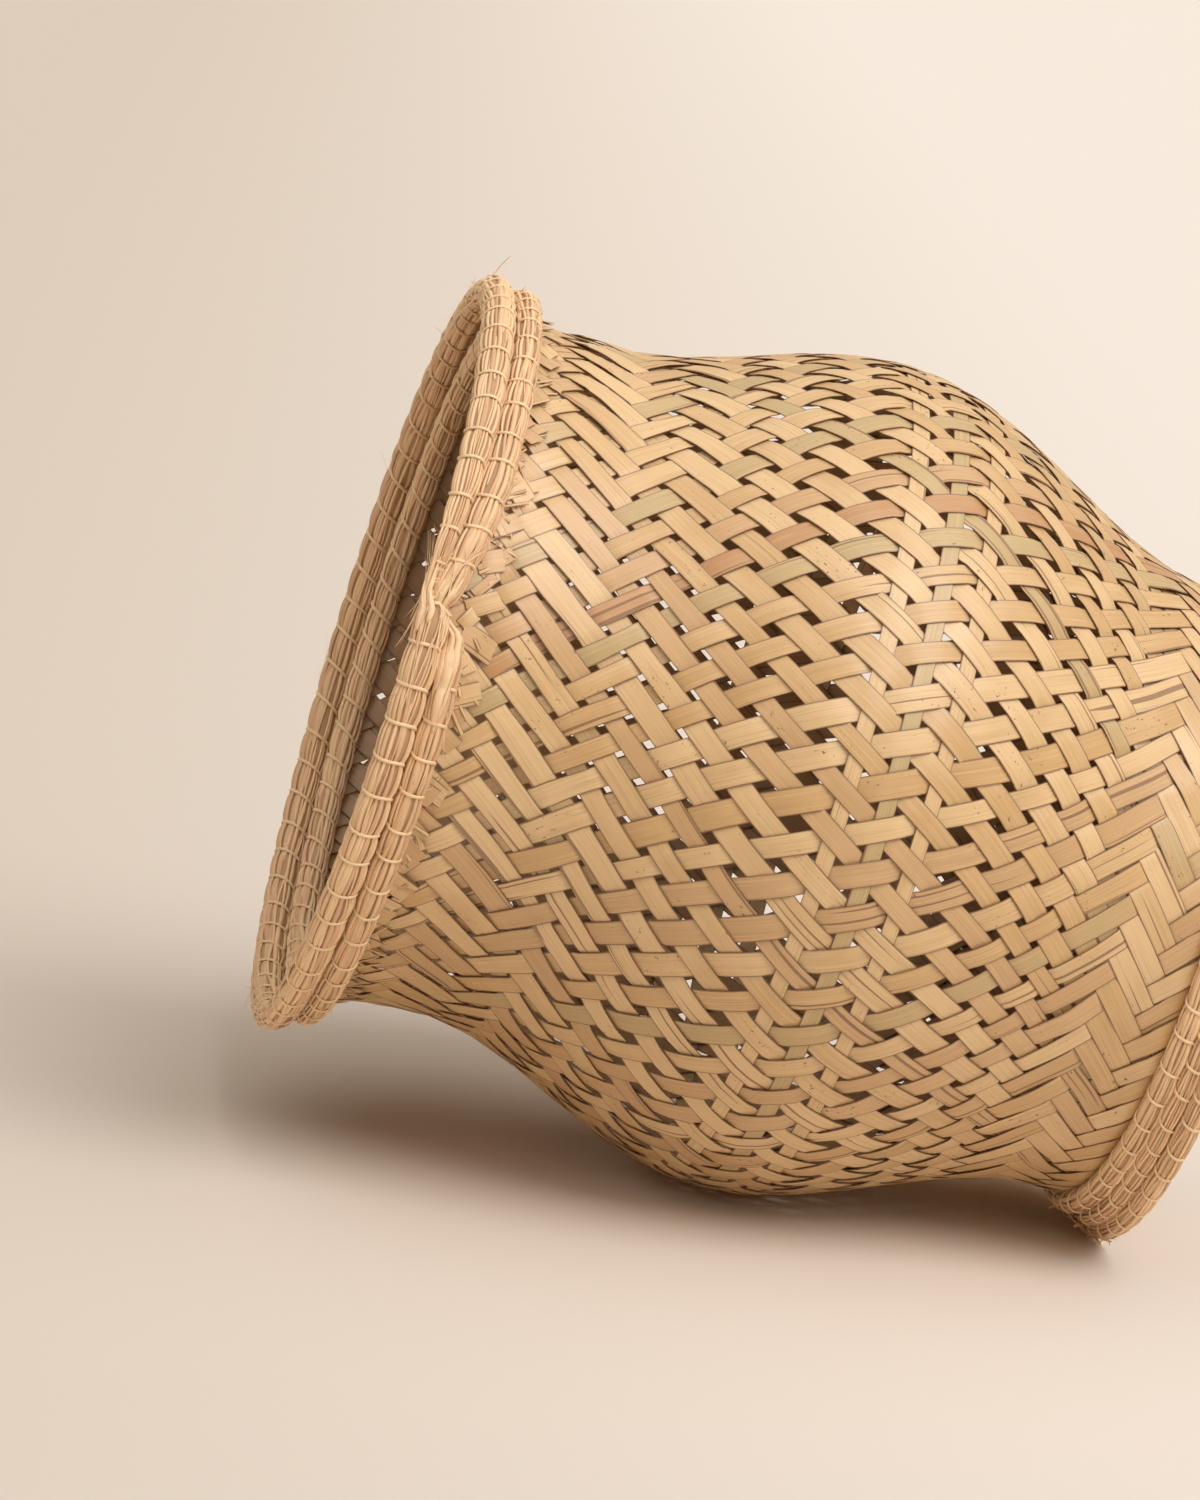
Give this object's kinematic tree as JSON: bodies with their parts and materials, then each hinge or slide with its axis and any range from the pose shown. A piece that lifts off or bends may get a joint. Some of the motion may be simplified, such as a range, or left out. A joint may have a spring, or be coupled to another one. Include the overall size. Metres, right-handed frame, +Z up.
{
  "type": "palm fiber basket",
  "caption": "Round-bellied basket plaited from diagonal palm strips, with level hoops round the belly, a laced fibre-bundle rim and a flared foot of fibre bundles.",
  "frame": {"origin": "centre of the face that the foot stands on", "axes": "+Z up through the mouth, along the basket's axis"},
  "size_m": [0.3992, 0.3992, 0.4193],
  "materials": {
    "leaf": "satin dried palm leaf",
    "hoop": "satin dried palm leaf",
    "fibre": "matt bundled leaf fibre",
    "lacing": "matt twisted leaf fibre"
  },
  "bodies": {
    "root": {"woven_wall": "leaf", "base_mat": "leaf", "belly_hoop_lower": "hoop", "belly_hoop_middle": "hoop", "belly_hoop_upper": "hoop", "rim_edge_coil": "fibre", "rim_outer_coil": "fibre", "rim_inner_coil": "fibre", "rim_lacing": "lacing", "foot_upper_coil": "fibre", "foot_middle_coil": "fibre", "foot_edge_coil": "fibre"}
  },
  "joints": []
}
